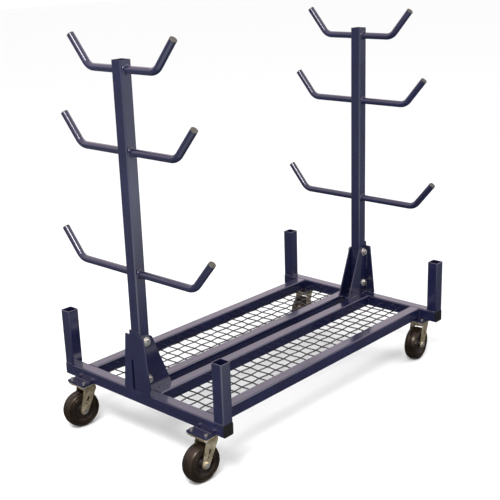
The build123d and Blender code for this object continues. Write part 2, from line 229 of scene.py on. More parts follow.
def make_uneven():
    """Slow patches that shift a colour a little lighter and darker."""
    tree, start, end = new_group(
        "uneven_tone",
        [
            ("Light", "Color", (1, 1, 1, 1)),
            ("Dark", "Color", (0, 0, 0, 1)),
            ("Size", "Float", 8.0),
            ("Contrast", "Float", 1.0),
        ],
        [("Color", "Color"), ("Mask", "Float")],
    )
    place = add_node(tree, "ShaderNodeTexCoord")
    noise = add_node(tree, "ShaderNodeTexNoise", {"Detail": 5.0, "Roughness": 0.6})
    spread = add_node(tree, "ShaderNodeMapRange", {"From Min": 0.32, "From Max": 0.68})
    sharpen = add_node(tree, "ShaderNodeMath", operation="POWER")
    mix = add_node(tree, "ShaderNodeMix", data_type="RGBA")
    tree.links.new(place.outputs["Object"], noise.inputs["Vector"])
    tree.links.new(start.outputs["Size"], noise.inputs["Scale"])
    tree.links.new(noise.outputs["Fac"], spread.inputs["Value"])
    tree.links.new(spread.outputs["Result"], sharpen.inputs[0])
    tree.links.new(start.outputs["Contrast"], sharpen.inputs[1])
    tree.links.new(sharpen.outputs[0], mix.inputs["Factor"])
    tree.links.new(start.outputs["Dark"], mix.inputs["A"])
    tree.links.new(start.outputs["Light"], mix.inputs["B"])
    tree.links.new(mix.outputs["Result"], end.inputs["Color"])
    tree.links.new(sharpen.outputs[0], end.inputs["Mask"])
    return tree


def make_dust():
    """Mask of the thin dust that settles on faces that look up, in broken patches."""
    tree, start, end = new_group(
        "settled_dust", [("Amount", "Float", 0.3), ("Size", "Float", 30.0)], [("Mask", "Float")]
    )
    place = add_node(tree, "ShaderNodeTexCoord")
    shape = add_node(tree, "ShaderNodeNewGeometry")
    split = add_node(tree, "ShaderNodeSeparateXYZ")
    upward = add_node(tree, "ShaderNodeMapRange", {"From Min": 0.35, "From Max": 0.95})
    noise = add_node(tree, "ShaderNodeTexNoise", {"Detail": 6.0, "Roughness": 0.65})
    patches = add_node(tree, "ShaderNodeMapRange", {"From Min": 0.4, "From Max": 0.7})
    both = add_node(tree, "ShaderNodeMath", operation="MULTIPLY")
    amount = add_node(tree, "ShaderNodeMath", operation="MULTIPLY")
    tree.links.new(place.outputs["Object"], noise.inputs["Vector"])
    tree.links.new(start.outputs["Size"], noise.inputs["Scale"])
    tree.links.new(shape.outputs["Normal"], split.inputs[0])
    tree.links.new(split.outputs["Z"], upward.inputs["Value"])
    tree.links.new(noise.outputs["Fac"], patches.inputs["Value"])
    tree.links.new(upward.outputs["Result"], both.inputs[0])
    tree.links.new(patches.outputs["Result"], both.inputs[1])
    tree.links.new(both.outputs[0], amount.inputs[0])
    tree.links.new(start.outputs["Amount"], amount.inputs[1])
    tree.links.new(amount.outputs[0], end.inputs["Mask"])
    return tree


def make_scuffs():
    """Mask of short fine scratches that lie mostly one way."""
    tree, start, end = new_group(
        "fine_scuffs", [("Amount", "Float", 0.5), ("Size", "Float", 40.0)], [("Mask", "Float")]
    )
    place = add_node(tree, "ShaderNodeTexCoord")
    stretch = add_node(
        tree, "ShaderNodeMapping", {"Rotation": (0.5, 0.35, 0.6), "Scale": (0.12, 2.4, 2.4)}
    )
    noise = add_node(
        tree, "ShaderNodeTexNoise", {"Detail": 4.0, "Roughness": 0.7, "Distortion": 0.3}
    )
    lines = add_node(tree, "ShaderNodeMapRange", {"From Min": 0.66, "From Max": 0.74})
    amount = add_node(tree, "ShaderNodeMath", operation="MULTIPLY")
    tree.links.new(place.outputs["Object"], stretch.inputs["Vector"])
    tree.links.new(stretch.outputs["Vector"], noise.inputs["Vector"])
    tree.links.new(start.outputs["Size"], noise.inputs["Scale"])
    tree.links.new(noise.outputs["Fac"], lines.inputs["Value"])
    tree.links.new(lines.outputs["Result"], amount.inputs[0])
    tree.links.new(start.outputs["Amount"], amount.inputs[1])
    tree.links.new(amount.outputs[0], end.inputs["Mask"])
    return tree


orange_peel = make_orange_peel()
uneven_tone = make_uneven()
settled_dust = make_dust()
fine_scuffs = make_scuffs()


def add_group(tree, group, **inputs):
    """Place a shared effect in a material with its own values."""
    made = tree.nodes.new("ShaderNodeGroup")
    made.node_tree = group
    for name, value in inputs.items():
        made.inputs[name].default_value = value
    return made


def new_material(name, **surface):
    """Material with one Principled surface and fixed values on its sockets."""
    material = bpy.data.materials.new(name)
    material.use_nodes = True
    tree = material.node_tree
    shader = tree.nodes["Principled BSDF"]
    for label, value in surface.items():
        shader.inputs[label.replace("_", " ")].default_value = value
    return material, tree, shader


def mix_color(tree, mask, below, over):
    """Colour that changes from one source to a fixed colour by a mask."""
    mix = add_node(tree, "ShaderNodeMix", {"B": over}, data_type="RGBA")
    tree.links.new(mask, mix.inputs["Factor"])
    tree.links.new(below, mix.inputs["A"])
    return mix.outputs["Result"]


def spread_mask(tree, mask, low, high):
    """A mask turned into values from low to high."""
    spread = add_node(tree, "ShaderNodeMapRange", {"To Min": low, "To Max": high})
    tree.links.new(mask, spread.inputs["Value"])
    return spread.outputs["Result"]


def larger(tree, first, second):
    """The larger of two values."""
    pick = add_node(tree, "ShaderNodeMath", operation="MAXIMUM")
    tree.links.new(first, pick.inputs[0])
    tree.links.new(second, pick.inputs[1])
    return pick.outputs[0]


def add_bump(tree, shader, height, strength, distance):
    """Small relief from a height."""
    bump = add_node(tree, "ShaderNodeBump", {"Strength": strength, "Distance": distance})
    tree.links.new(height, bump.inputs["Height"])
    tree.links.new(bump.outputs["Normal"], shader.inputs["Normal"])


def make_paint(name, light, dark, peel_size, peel_depth, dust):
    """Glossy baked enamel with orange peel, faint scuffs and a little dust."""
    material, tree, shader = new_material(
        name, Coat_Weight=0.8, Coat_Roughness=0.13, Coat_IOR=1.5, Specular_IOR_Level=0.5
    )
    tone = add_group(tree, uneven_tone, Light=light, Dark=dark, Size=7.0)
    film = add_group(tree, settled_dust, Amount=dust, Size=35.0)
    scuffs = add_group(tree, fine_scuffs, Amount=0.15, Size=30.0)
    peel = add_group(tree, orange_peel, Size=peel_size, Slow=1.5)
    colour = mix_color(tree, film.outputs["Mask"], tone.outputs["Color"], (0.30, 0.27, 0.25, 1))
    colour = mix_color(tree, scuffs.outputs["Mask"], colour, (0.06, 0.06, 0.11, 1))
    tree.links.new(colour, shader.inputs["Base Color"])
    wear = larger(tree, film.outputs["Mask"], scuffs.outputs["Mask"])
    tree.links.new(spread_mask(tree, wear, 0.16, 0.5), shader.inputs["Roughness"])
    add_bump(tree, shader, peel.outputs["Height"], 1.0, peel_depth)
    return material


def make_plating(name, light, dark, rough_low, rough_high, metal):
    """Zinc plate: cloudy, with patches of tint and roughness and fine handling marks."""
    material, tree, shader = new_material(name, Metallic=metal)
    tone = add_group(tree, uneven_tone, Light=light, Dark=dark, Size=45.0)
    scuffs = add_group(tree, fine_scuffs, Amount=0.6, Size=90.0)
    peel = add_group(tree, orange_peel, Size=900.0, Slow=0.4)
    colour = mix_color(tree, scuffs.outputs["Mask"], tone.outputs["Color"], (0.32, 0.31, 0.29, 1))
    tree.links.new(colour, shader.inputs["Base Color"])
    rough = spread_mask(tree, tone.outputs["Mask"], rough_high, rough_low)
    tree.links.new(rough, shader.inputs["Roughness"])
    add_bump(tree, shader, peel.outputs["Height"], 0.4, 0.03 * MM)
    return material


def make_plastic(name, light, dark, roughness):
    """Moulded plastic with a fine grain and scuffed patches."""
    material, tree, shader = new_material(name, Specular_IOR_Level=0.3)
    tone = add_group(tree, uneven_tone, Light=light, Dark=dark, Size=60.0)
    film = add_group(tree, settled_dust, Amount=0.15, Size=80.0)
    grain = add_group(tree, orange_peel, Size=1600.0, Slow=0.3)
    colour = mix_color(tree, film.outputs["Mask"], tone.outputs["Color"], (0.35, 0.32, 0.29, 1))
    tree.links.new(colour, shader.inputs["Base Color"])
    rough = spread_mask(tree, tone.outputs["Mask"], roughness, roughness + 0.15)
    tree.links.new(rough, shader.inputs["Roughness"])
    add_bump(tree, shader, grain.outputs["Height"], 0.7, 0.06 * MM)
    return material


def make_rubber():
    """Wheel rubber, black-brown, with a little dust and fine rubbed marks."""
    material, tree, shader = new_material(
        "wheel_rubber", Specular_IOR_Level=0.45, Specular_Tint=(1.0, 0.82, 0.66, 1)
    )
    tone = add_group(
        tree,
        uneven_tone,
        Light=(0.013, 0.0078, 0.0042, 1),
        Dark=(0.005, 0.003, 0.0018, 1),
        Size=28.0,
    )
    film = add_group(tree, settled_dust, Amount=0.1, Size=50.0)
    scuffs = add_group(tree, fine_scuffs, Amount=0.4, Size=60.0)
    grain = add_group(tree, orange_peel, Size=700.0, Slow=0.8)
    colour = mix_color(tree, film.outputs["Mask"], tone.outputs["Color"], (0.12, 0.10, 0.08, 1))
    colour = mix_color(tree, scuffs.outputs["Mask"], colour, (0.05, 0.038, 0.03, 1))
    tree.links.new(colour, shader.inputs["Base Color"])
    rough = spread_mask(tree, tone.outputs["Mask"], 0.2, 0.4)
    tree.links.new(rough, shader.inputs["Roughness"])
    add_bump(tree, shader, grain.outputs["Height"], 1.0, 0.14 * MM)
    return material


def make_hub_iron():
    """Dark painted casting of the wheel's hub, slightly rough from the sand."""
    material, tree, shader = new_material("hub_casting", Specular_IOR_Level=0.35)
    tone = add_group(
        tree, uneven_tone, Light=(0.022, 0.013, 0.009, 1), Dark=(0.008, 0.005, 0.0035, 1), Size=40.0
    )
    film = add_group(tree, settled_dust, Amount=0.2, Size=60.0)
    sand = add_group(tree, orange_peel, Size=520.0, Slow=0.5)
    colour = mix_color(tree, film.outputs["Mask"], tone.outputs["Color"], (0.2, 0.18, 0.16, 1))
    tree.links.new(colour, shader.inputs["Base Color"])
    rough = spread_mask(tree, tone.outputs["Mask"], 0.34, 0.55)
    tree.links.new(rough, shader.inputs["Roughness"])
    add_bump(tree, shader, sand.outputs["Height"], 1.0, 0.3 * MM)
    return material


finishes = {
    "paint": make_paint(
        "navy_enamel",
        light=(0.0090, 0.0102, 0.040, 1),
        dark=(0.0060, 0.0066, 0.026, 1),
        peel_size=230.0,
        peel_depth=0.018 * MM,
        dust=0.03,
    ),
    "mesh_paint": make_paint(
        "wire_enamel",
        light=(0.0025, 0.0025, 0.0045, 1),
        dark=(0.0015, 0.0015, 0.0025, 1),
        peel_size=700.0,
        peel_depth=0.05 * MM,
        dust=0.01,
    ),
    "zinc_bolt": make_plating(
        "bright_zinc",
        light=(0.86, 0.84, 0.79, 1),
        dark=(0.52, 0.50, 0.46, 1),
        rough_low=0.1,
        rough_high=0.22,
        metal=0.92,
    ),
    "zinc_caster": make_plating(
        "caster_zinc",
        light=(0.68, 0.59, 0.41, 1),
        dark=(0.24, 0.19, 0.11, 1),
        rough_low=0.16,
        rough_high=0.38,
        metal=0.75,
    ),
    "black_plastic": make_plastic(
        "black_plug", light=(0.005, 0.005, 0.005, 1), dark=(0.003, 0.003, 0.003, 1), roughness=0.3
    ),
    # painted reflection: the tip plugs' tan-grey stands for the bright room mirrored in the faces of black plugs
    "tan_plastic": make_plastic(
        "tip_plug_painted_sheen", light=(0.075, 0.068, 0.056, 1), dark=(0.036, 0.032, 0.028, 1), roughness=0.42
    ),
    "rubber": make_rubber(),
    "hub_iron": make_hub_iron(),
}
slot_of = {part["node"]: part["material_slot"] for part in frame["record"]["subparts"]}
body_of = {
    name: body
    for body, members in frame["record"]["behaviour"]["bodies"].items()
    for name in members
}
for name, node in nodes.items():
    for slot in node.material_slots:
        slot.material = finishes[slot_of[name]]


def finish_as(piece, node, angle=35):
    """Finish a piece in the manner of a solid, on the same body."""
    return complete(piece, body_of[node], finishes[slot_of[node]], angle)


def stand_for(piece, node, angle=35):
    """Finish a piece and put it in the place of a solid."""
    finish_as(piece, node, angle)
    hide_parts(node)
    return piece


# ================================================================ plates
# how far each kind's edges are rounded
BRACKET_EDGES = {"bracket_plate": 1.0 * MM, "bracket_cheeks": 0.9 * MM, "bracket_tie": 0.9 * MM}
CASTER_EDGES = {"caster_pad": 1.0 * MM, "caster_top_plate": 1.0 * MM, "caster_fork": 1.3 * MM}
PLUG_EDGES = 1.1 * MM


def ease_plates():
    """Brackets, pads, caster plates, forks and rail plugs with broken edges."""
    for kind, width in BRACKET_EDGES.items():
        for end in ENDS:
            node = f"{kind}_{end}"
            stand_for(eased_copy(node, width), node)
    for corner in CORNERS:
        for kind, width in CASTER_EDGES.items():
            node = f"{kind}_{corner}"
            stand_for(eased_copy(node, width, 3), node)
    stand_for(eased_copy("end_rail_plugs", PLUG_EDGES, 3), "end_rail_plugs")


ease_plates()


# ================================================================ wire mesh
WIRE = 5.6 * MM
PITCH = 51.8 * MM
CRIMP = 1.2 * MM  # how far a wire rises and falls where it crosses another
# from the middle of the deck to the nearest long wire of each bay
FIRST_WIRE = {"left": 101.5 * MM, "right": 125.8 * MM}
WAVE_STEPS = 6  # rings of a wire in one pitch
WIRE_SIDES = 8


def crimped_strand(reach):
    """Long wire along X, waved over and under the wires that it crosses; a crest at x = 0."""
    let_go()
    bpy.ops.mesh.primitive_cylinder_add(
        vertices=WIRE_SIDES,
        radius=WIRE / 2,
        depth=2 * PITCH,
        end_fill_type="NOTHING",
        location=(PITCH, 0, 0),
        rotation=(0, math.radians(90), 0),
    )
    strand = started("crimped_strand")
    edit(strand)
    choose(strand, "EDGE", lambda edge: abs(edge.verts[0].co.x - edge.verts[1].co.x) > PITCH)
    bpy.ops.mesh.subdivide(number_cuts=2 * WAVE_STEPS - 1)
    for step in range(2 * WAVE_STEPS + 1):
        ring_x = step * PITCH / WAVE_STEPS
        choose(strand, "VERT", lambda vert: abs(vert.co.x - ring_x) < 0.1 * MM)
        rise = CRIMP * math.cos(math.pi * ring_x / PITCH)
        bpy.ops.transform.translate(value=(0, 0, rise))
    let_go()
    cells = math.ceil(reach / PITCH) + 2
    add_modifier(
        strand,
        "ARRAY",
        count=cells,
        use_relative_offset=False,
        use_constant_offset=True,
        constant_offset_displace=(2 * PITCH, 0, 0),
        use_merge_vertices=True,
        merge_threshold=0.05 * MM,
    )
    strand.data.transform(Matrix.Translation((-2 * PITCH * (cells // 2), 0, 0)))
    return strand


def wire_between(strand, low, high, crest):
    """Length of wire from low to high along X, with a crest at a given place."""
    wire = copy_piece(strand, "wire", Matrix.Translation((crest, 0, 0)))
    cut_off(wire, (high, 0, 0), (1, 0, 0))
    cut_off(wire, (low, 0, 0), (-1, 0, 0))
    return wire


def weave_mesh(side):
    """Crimped wires of one bay, each over and under the wires that it crosses."""
    low, high = span_of(f"deck_mesh_{side}")
    level = (low.z + high.z) / 2
    strand = crimped_strand(high.x - low.x)
    deck_middle = (low.x + high.x) / 2
    first_cross = deck_middle + PITCH / 2
    sign = SIDES[side]
    first_long = sign * FIRST_WIRE[side]
    wires = []
    # neighbouring wires rise where the other falls, so each direction has two patterns
    long_patterns = [
        wire_between(strand, low.x, high.x, first_cross + odd * PITCH) for odd in (0, 1)
    ]
    count = int((max(abs(low.y), abs(high.y)) - FIRST_WIRE[side]) / PITCH) + 1
    for index in range(count):
        place = Matrix.Translation((0, first_long + sign * index * PITCH, level))
        wires.append(copy_piece(long_patterns[index % 2], "wire", place))
    cross_patterns = [
        wire_between(strand, low.y, high.y, first_long + (1 - odd) * PITCH) for odd in (0, 1)
    ]
    quarter_turn = Matrix.Rotation(math.radians(90), 4, "Z")
    half = int((high.x - low.x) / 2 / PITCH - 0.5) + 1
    for index in range(-half, half):
        place = Matrix.Translation((first_cross + index * PITCH, 0, level)) @ quarter_turn
        wires.append(copy_piece(cross_patterns[index % 2], "wire", place))
    for pattern in long_patterns + cross_patterns + [strand]:
        discard(pattern)
    stand_for(join_pieces(wires, f"woven_mesh_{side}"), f"deck_mesh_{side}", 60)


for side in SIDES:
    weave_mesh(side)


# ================================================================ wheels
TYRE_RADIUS = 76.2 * MM
TYRE_WIDTH = 50.8 * MM
TREAD_STEPS = 12
TREAD_CROWN = 5.2 * MM  # drop from the middle of the tread to its shoulders
RAISED_RINGS = (4, 8)  # steps of the tread that carry its two rings
RING_HEIGHT = 1.3 * MM
HUB_RADIUS = 50.0 * MM
HUB_GAP = 0.02 * MM
HUB_WIDTH = TYRE_WIDTH - 1.6 * MM
BORE_RADIUS = 6.45 * MM
WHEEL_SIDES = 72
# each step inwards on a side of the tyre or the hub: width of the ring, and its rise
TYRE_WALL = (
    (1.6 * MM, 1.2 * MM),
    (3.0 * MM, 0.2 * MM),
    (1.2 * MM, -2.0 * MM),
    (4.4 * MM, -0.3 * MM),
    (1.2 * MM, 1.8 * MM),
    (3.2 * MM, 0.2 * MM),
    (1.4 * MM, -1.8 * MM),
)
HUB_FACE = (
    (4.5 * MM, 0),
    (2.2 * MM, -3.0 * MM),
    (1.6 * MM, -9.0 * MM),
    (8.0 * MM, -1.0 * MM),
    (1.2 * MM, 1.4 * MM),
    (3.2 * MM, 0),
    (1.2 * MM, -1.4 * MM),
    (7.0 * MM, 0.6 * MM),
    (3.0 * MM, 5.0 * MM),
    (1.6 * MM, 7.0 * MM),
    (1.2 * MM, 2.0 * MM),
    (4.5 * MM, 0.8 * MM),
)


def turned_blank(name, radius, width):
    """Round blank about Z, as it would go into a lathe."""
    let_go()
    bpy.ops.mesh.primitive_cylinder_add(
        vertices=WHEEL_SIDES, radius=radius, depth=width, end_fill_type="NGON"
    )
    return started(name)


def is_end(face):
    """Whether a face is the disc at an end of a blank."""
    return len(face.verts) > 4


def open_ends_to(piece, radius, lip=0):
    """Bring the rims of both end discs to a radius, past a lip of their own if wanted."""
    edit(piece)
    ends = [face for face in bmesh.from_edit_mesh(piece.data).faces if is_end(face)]
    rim = max(vert.co.xy.length for face in ends for vert in face.verts)
    choose(piece, "FACE", is_end)
    if lip:
        bpy.ops.mesh.inset(thickness=lip, use_even_offset=False)
    shrink = radius / rim
    bpy.ops.transform.resize(value=(shrink, shrink, 1), center_override=(0, 0, 0))
    let_go()


def turn_ends(piece, steps):
    """Work both ends of a blank inwards, ring by ring."""
    for way in (1, -1):
        edit(piece)
        choose(piece, "FACE", lambda face: is_end(face) and face.normal.z * way > 0.9)
        for ring, rise in steps:
            bpy.ops.mesh.inset(thickness=ring, use_even_offset=False)
            if rise:
                bpy.ops.transform.translate(value=(0, 0, way * rise))
        let_go()


def bore_through(piece):
    """Take out the two end faces that are left, and join their rims as a bore."""
    edit(piece)
    choose(piece, "FACE", is_end)
    bpy.ops.mesh.delete(type="ONLY_FACE")
    choose(piece, "EDGE", lambda edge: edge.is_boundary)
    bpy.ops.mesh.bridge_edge_loops()
    bpy.ops.mesh.select_all(action="SELECT")
    bpy.ops.mesh.normals_make_consistent(inside=False)
    let_go()


def make_tyre():
    """Tyre with two raised rings on its crowned tread and moulded rings on its sides."""
    tyre = turned_blank("tyre", TYRE_RADIUS, TYRE_WIDTH)
    edit(tyre)
    choose(
        tyre, "EDGE", lambda edge: abs(edge.verts[0].co.z - edge.verts[1].co.z) > TYRE_WIDTH / 2
    )
    bpy.ops.mesh.subdivide(number_cuts=TREAD_STEPS - 1)
    ring_gap = TYRE_WIDTH / TREAD_STEPS
    for step in range(TREAD_STEPS + 1):
        ring_z = step * ring_gap - TYRE_WIDTH / 2
        choose(tyre, "VERT", lambda vert: abs(vert.co.z - ring_z) < ring_gap / 4)
        shoulder = abs(ring_z) / (TYRE_WIDTH / 2)
        drop = TREAD_CROWN * shoulder**4
        if step not in RAISED_RINGS:
            drop += RING_HEIGHT
        shrink = (TYRE_RADIUS - drop) / TYRE_RADIUS
        bpy.ops.transform.resize(value=(shrink, shrink, 1), center_override=(0, 0, ring_z))
    let_go()
    turn_ends(tyre, TYRE_WALL)
    open_ends_to(tyre, HUB_RADIUS)
    bore_through(tyre)
    ease_edges(tyre, 0.6 * MM, 2, 25)
    return tyre


def make_hub():
    """Cast hub: rim, dished web with a raised ring, and a boss bored for the axle."""
    hub = turned_blank("hub", HUB_RADIUS - HUB_GAP, HUB_WIDTH)
    turn_ends(hub, HUB_FACE)
    open_ends_to(hub, BORE_RADIUS, 0.01 * MM)
    bore_through(hub)
    ease_edges(hub, 0.8 * MM, 2, 28)
    return hub


def wheel_place(corner):
    """Place and turn of a wheel on its axle."""
    joint = joints[f"roll_{corner}"]
    along = Vector(joint["axis"]).to_track_quat("Z", "Y").to_matrix().to_4x4()
    return Matrix.Translation(joint["pos_m"]) @ along


def fit_wheels():
    """Tyre and hub on each axle."""
    tyre = make_tyre()
    hub = make_hub()
    for corner in CORNERS:
        stand_for(copy_piece(tyre, f"tyre_{corner}", wheel_place(corner)), f"wheel_tire_{corner}")
        stand_for(copy_piece(hub, f"hub_{corner}", wheel_place(corner)), f"wheel_hub_{corner}")
    discard(tyre)
    discard(hub)


fit_wheels()


# ================================================================ bolts, nuts and washers
BOLT = 15.875 * MM
BOLT_FLATS = 23.8 * MM
CROWN = 2.0 * MM  # how far a head's corners are cut back
HALF_THREAD = 0.9 * MM
THREAD_ROOT = 0.91  # of the radius at the crests
CLAMP_RISE = 157.5 * MM  # of the clamp bolt above the pivot bolt
WRENCH_TURNS = {0: 12, CLAMP_RISE: 47}  # degrees that each bolt was left at, by its rise
NUT_TURN = 9
WASHER_EDGES = 0.7 * MM
CASTER_BOLT_EDGES = 0.5 * MM
AXLE_EDGES = 0.8 * MM


def hexagon(name, flats, height, crown):
    """Hexagonal head or nut standing on zero, the corners of its top cut back all round."""
    corner_radius = flats / math.sqrt(3)
    cone_radius = corner_radius * 1.03
    flat_top = flats / 2 * 0.95
    let_go()
    bpy.ops.mesh.primitive_cylinder_add(
        vertices=6, radius=corner_radius, depth=height, location=(0, 0, height / 2)
    )
    head = started(name)
    let_go()
    bpy.ops.mesh.primitive_cylinder_add(
        vertices=48, radius=cone_radius, depth=height * 2, location=(0, 0, 0)
    )
    cone = started("cone")
    edit(cone)
    choose(cone, "FACE", lambda face: len(face.verts) > 4 and face.normal.z > 0.9)
    bpy.ops.mesh.inset(thickness=cone_radius - flat_top)
    choose(
        cone, "VERT", lambda vert: vert.co.z > height / 2 and vert.co.xy.length > corner_radius
    )
    bpy.ops.transform.translate(value=(0, 0, -crown))
    let_go()
    add_modifier(head, "BOOLEAN", operation="INTERSECT", object=cone, solver="EXACT")
    discard(cone)
    ease_edges(head, 0.35 * MM, 2, 20)
    return head


def threaded_rod(name, radius, length, thread_from):
    """Shank standing on zero, with thread crests from one height to its end."""
    let_go()
    bpy.ops.mesh.primitive_cylinder_add(
        vertices=24, radius=radius, depth=length, location=(0, 0, length / 2)
    )
    rod = started(name)
    for step in range(int((length - thread_from) / HALF_THREAD)):
        level = length - (step + 0.5) * HALF_THREAD
        edit(rod)
        bpy.ops.mesh.select_all(action="SELECT")
        bpy.ops.mesh.bisect(plane_co=(0, 0, level), plane_no=(0, 0, 1))
        if step % 2 == 1:
            choose(rod, "VERT", lambda vert: abs(vert.co.z - level) < 0.05 * MM)
            bpy.ops.transform.resize(
                value=(THREAD_ROOT, THREAD_ROOT, 1), center_override=(0, 0, level)
            )
        let_go()
    return rod


def fasten_brackets():
    """Pivot and clamp bolts of both brackets, their heads to the right, nuts to the left."""
    stand_for(eased_copy("bracket_washers", WASHER_EDGES, 3), "bracket_washers")
    washer_face = span_of("bracket_washers")[1].y
    low, high = span_of("bracket_bolts")
    nut_height = span_of("bracket_nuts")[1].y - washer_face
    grip = 2 * washer_face
    # made standing on the head, which lies below zero
    head = hexagon("head", BOLT_FLATS, -washer_face - low.y, CROWN)
    head.data.transform(Matrix.Rotation(math.radians(180), 4, "X"))
    rod = threaded_rod("rod", BOLT / 2, high.y + washer_face, grip + nut_height)
    bolt = join_pieces([head, rod], "bolt")
    nut = hexagon("nut", BOLT_FLATS, nut_height, CROWN)
    nut.data.transform(Matrix.Translation((0, 0, grip)))
    bolts = []
    nuts = []
    lie_down = Matrix.Rotation(math.radians(-90), 4, "X")
    for end in ENDS:
        pivot = Vector(joints[f"fold_{end}"]["pos_m"])
        for rise, turn in WRENCH_TURNS.items():
            place = Matrix.Translation((pivot.x, -washer_face, pivot.z + rise)) @ lie_down
            spun = place @ Matrix.Rotation(math.radians(turn), 4, "Z")
            bolts.append(copy_piece(bolt, "bolt", spun))
            nut_spun = spun @ Matrix.Rotation(math.radians(NUT_TURN), 4, "Z")
            nuts.append(copy_piece(nut, "nut", nut_spun))
    discard(bolt)
    discard(nut)
    stand_for(join_pieces(bolts, "bracket_bolts_finished"), "bracket_bolts", 30)
    stand_for(join_pieces(nuts, "bracket_nuts_finished"), "bracket_nuts", 30)
    for node in ("caster_bolts", "caster_nuts"):
        stand_for(eased_copy(node, CASTER_BOLT_EDGES), node)
    for corner in CORNERS:
        stand_for(eased_copy(f"caster_axle_{corner}", AXLE_EDGES), f"caster_axle_{corner}")


fasten_brackets()


# ================================================================ welds
BEAD = 4.0 * MM
BEAD_SIDES = 8
RIPPLE = 2.6 * MM
RIPPLE_DEPTH = 0.7 * MM
UNEVEN = 0.25 * MM
STICK_LENGTH = 160 * MM
SUNK = 0.4 * MM  # of a bead's middle past the corner that it fills
PIPE = 28.6 * MM
RING_SEGMENTS = 44
# from and to, in mm: across the plate's foot, up the cheek's back, and along its foot
PLATE_STITCHES = ((-62, -14), (18, 64))
BACK_STITCHES = ((4, 68), (118, 222))
FOOT_STITCHES = ((6, 44), (78, 138))
TIE_STITCH = 16 * MM


def make_stick():
    """Straight length of weld with its ripples, along X from zero."""
    let_go()
    bpy.ops.mesh.primitive_cylinder_add(
        vertices=BEAD_SIDES,
        radius=BEAD,
        depth=STICK_LENGTH,
        location=(STICK_LENGTH / 2, 0, 0),
        rotation=(0, math.radians(90), 0),
    )
    stick = started("weld_stick")
    edit(stick)
    choose(
        stick,
        "EDGE",
        lambda edge: abs(edge.verts[0].co.x - edge.verts[1].co.x) > STICK_LENGTH / 2,
    )
    rings = int(STICK_LENGTH / RIPPLE * 2)
    bpy.ops.mesh.subdivide(number_cuts=rings - 1)
    ring_gap = STICK_LENGTH / rings
    choose(stick, "VERT", lambda vert: round(vert.co.x / ring_gap) % 2 == 0)
    bpy.ops.transform.shrink_fatten(value=-RIPPLE_DEPTH)
    bpy.ops.mesh.select_all(action="SELECT")
    bpy.ops.transform.vertex_random(offset=UNEVEN, seed=7)
    let_go()
    return stick


def run_bead(stick, start, end, beads):
    """Weld laid from one point to another."""
    start = Vector(start)
    run = Vector(end) - start
    bead = copy_piece(stick, "bead")
    cut_off(bead, (run.length, 0, 0), (1, 0, 0))
    turn = run.to_track_quat("X", "Z").to_matrix().to_4x4()
    bead.data.transform(Matrix.Translation(start) @ turn)
    beads.append(bead)


def weld_rails(stick, beads):
    """Upright beads in the corners where the long rails meet the end rails."""
    low_z, high_z = [point.z for point in span_of("end_rail_front")]
    for rail in ("side_rail", "center_rail"):
        for side in SIDES:
            low, high = span_of(f"{rail}_{side}")
            for x in (low.x + SUNK, high.x - SUNK):
                for y in (low.y - SUNK, high.y + SUNK):
                    run_bead(stick, (x, y, low_z + 5 * MM), (x, y, high_z - 4 * MM), beads)


def weld_posts(stick, beads):
    """Bead across the inner foot of each corner post, and low ones along its flush sides."""
    for corner in CORNERS:
        low, high = span_of(f"corner_post_{corner}")
        inner_y = min(low.y, high.y, key=abs)
        foot = low.z + 0.3 * MM
        run_bead(stick, (low.x + 5 * MM, inner_y, foot), (high.x - 5 * MM, inner_y, foot), beads)
        for x, inward in ((low.x, 1), (high.x, -1)):
            sunk_x = x + inward * 2.0 * MM
            run_bead(
                stick, (sunk_x, low.y + 6 * MM, low.z), (sunk_x, high.y - 6 * MM, low.z), beads
            )


def weld_brackets(stick, beads):
    """Stitches along the plates' feet, the cheeks' backs and feet, and the ties."""
    for end, out in ENDS.items():
        plate_low, plate_high = span_of(f"bracket_plate_{end}")
        cheek_low, cheek_high = span_of(f"bracket_cheeks_{end}")
        tie_low, tie_high = span_of(f"bracket_tie_{end}")
        rail_low, rail_high = span_of(f"end_rail_{end}")
        foot = plate_low.z
        rail_face = rail_low.x if out < 0 else rail_high.x
        root = cheek_high.x if out > 0 else cheek_low.x
        tie_edge = tie_low.x if out > 0 else tie_high.x
        under = foot - 0.8 * MM
        for low_y, high_y in PLATE_STITCHES:
            run_bead(
                stick, (rail_face, low_y * MM, under), (rail_face, high_y * MM, under), beads
            )
        for cheek_y in (cheek_low.y, cheek_high.y):
            plate_edge = math.copysign(plate_high.y - 6 * MM, cheek_y)
            run_bead(stick, (root, cheek_y, foot), (root, plate_edge, foot), beads)
            for low_z, high_z in BACK_STITCHES:
                start = (root, cheek_y, foot + low_z * MM)
                run_bead(stick, start, (root, cheek_y, foot + high_z * MM), beads)
            for near, far in FOOT_STITCHES:
                start = (root - out * near * MM, cheek_y, foot)
                run_bead(stick, start, (root - out * far * MM, cheek_y, foot), beads)
        for low_y in (tie_low.y, tie_high.y - TIE_STITCH):
            start = (tie_edge, low_y, foot)
            run_bead(stick, start, (tie_edge, low_y + TIE_STITCH, foot), beads)


def weld_pads(stick, beads):
    """Beads along both sides of the end rails on the caster pads."""
    for corner in CORNERS:
        end = corner.split("_")[0]
        pad_low, pad_high = span_of(f"caster_pad_{corner}")
        rail_low, rail_high = span_of(f"end_rail_{end}")
        for x in (rail_low.x, rail_high.x):
            start = (x, pad_low.y + 4 * MM, pad_high.z)
            run_bead(stick, start, (x, pad_high.y - 4 * MM, pad_high.z), beads)


